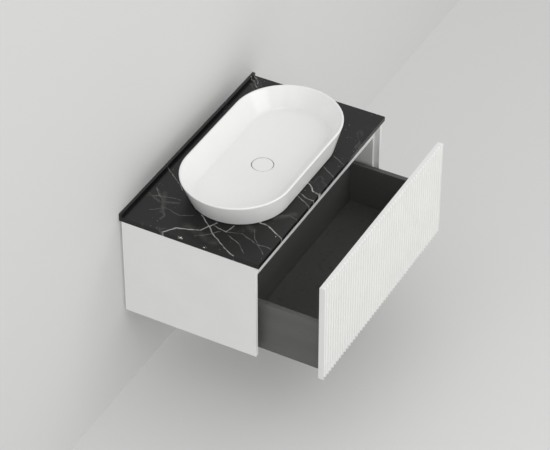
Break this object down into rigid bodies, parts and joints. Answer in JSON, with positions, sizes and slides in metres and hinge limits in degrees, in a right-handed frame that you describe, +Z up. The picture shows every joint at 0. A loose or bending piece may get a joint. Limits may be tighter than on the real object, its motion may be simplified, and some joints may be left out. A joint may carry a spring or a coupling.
{
  "type": "wall hung vanity with vessel basin",
  "caption": "Wall-hung bathroom vanity with a black marble top, an oval white vessel basin with a press-to-close waste, and a wide drawer with a fluted white front.",
  "frame": {"origin": "middle of the four holes of the two wall plates, on the wall", "axes": "+Y into the wall, +Z up, +X to the right as seen from the room"},
  "size_m": [0.8, 0.694, 0.447],
  "materials": {
    "black_marble": "polished black marble with grey and white veins",
    "white_glaze": "white gloss glaze",
    "white_lacquer": "matt white lacquer on board",
    "anthracite_board": "anthracite foil on board",
    "beech": "fluted beech dowel",
    "zinc_steel": "zinc plated sheet",
    "zinc_screws": "bright zinc plate",
    "nylon": "natural nylon",
    "chrome": "polished chrome plate",
    "brass": "turned brass",
    "black_rubber": "moulded rubber",
    "white_plastic": "white polypropylene"
  },
  "bodies": {
    "vanity": {"countertop": "black_marble", "back_upstand": "black_marble", "basin": "white_glaze", "right_side_panel": "white_lacquer", "left_side_panel": "white_lacquer", "right_carcass_side": "white_lacquer", "left_carcass_side": "white_lacquer", "top_front_rail": "white_lacquer", "rear_upper_rail": "white_lacquer", "rear_lower_rail": "white_lacquer", "right_cabinet_rail": "zinc_steel", "left_cabinet_rail": "zinc_steel", "right_hanger": "zinc_steel", "left_hanger": "zinc_steel", "right_hook": "zinc_steel", "left_hook": "zinc_steel", "right_wall_plate": "zinc_steel", "left_wall_plate": "zinc_steel", "rail_screws": "zinc_screws", "panel_screws": "zinc_screws", "slide_screws": "zinc_screws", "adjusting_screws": "zinc_screws", "hanger_screws": "zinc_screws", "waste_body": "chrome", "click_cartridge": "brass", "lock_nut": "brass", "upper_gasket": "black_rubber", "cone_seal": "black_rubber", "tail_nut": "white_plastic", "trap_arm": "white_plastic", "trap_body": "white_plastic", "trap_cup": "white_plastic", "trap_inlet_nut": "white_plastic", "trap_outlet_nut": "white_plastic", "outlet_pipe": "white_plastic", "wall_escutcheon": "white_plastic"},
    "drawer": {"drawer_front": "white_lacquer", "drawer_inner_front": "anthracite_board", "drawer_right_side": "anthracite_board", "drawer_left_side": "anthracite_board", "drawer_back": "anthracite_board", "drawer_base": "anthracite_board", "drawer_dowels": "beech", "front_screws": "zinc_screws", "right_drawer_rail": "zinc_steel", "left_drawer_rail": "zinc_steel", "drawer_rail_screws": "zinc_screws"},
    "middle_rails": {"right_middle_rail": "zinc_steel", "left_middle_rail": "zinc_steel", "right_rail_glides": "nylon", "left_rail_glides": "nylon"},
    "plug": {"waste_cap": "white_glaze", "plug_stem": "brass", "plug_seal": "black_rubber"}
  },
  "joints": [
    {"name": "drawer_slide", "type": "slide", "parent": "vanity", "child": "drawer", "axis": [0, 1, 0], "range_m": [-0.058, 0.211]},
    {"name": "middle_rail_slide", "type": "slide", "parent": "vanity", "child": "middle_rails", "axis": [0, 1, 0], "range_m": [-0.029, 0.1055]},
    {"name": "plug_slide", "type": "slide", "parent": "vanity", "child": "plug", "axis": [0, 0, 1], "range_m": [0, 0.008]}
  ],
  "couplings": [
    {"joint": "middle_rail_slide", "follows": "drawer_slide", "ratio": 0.5}
  ]
}
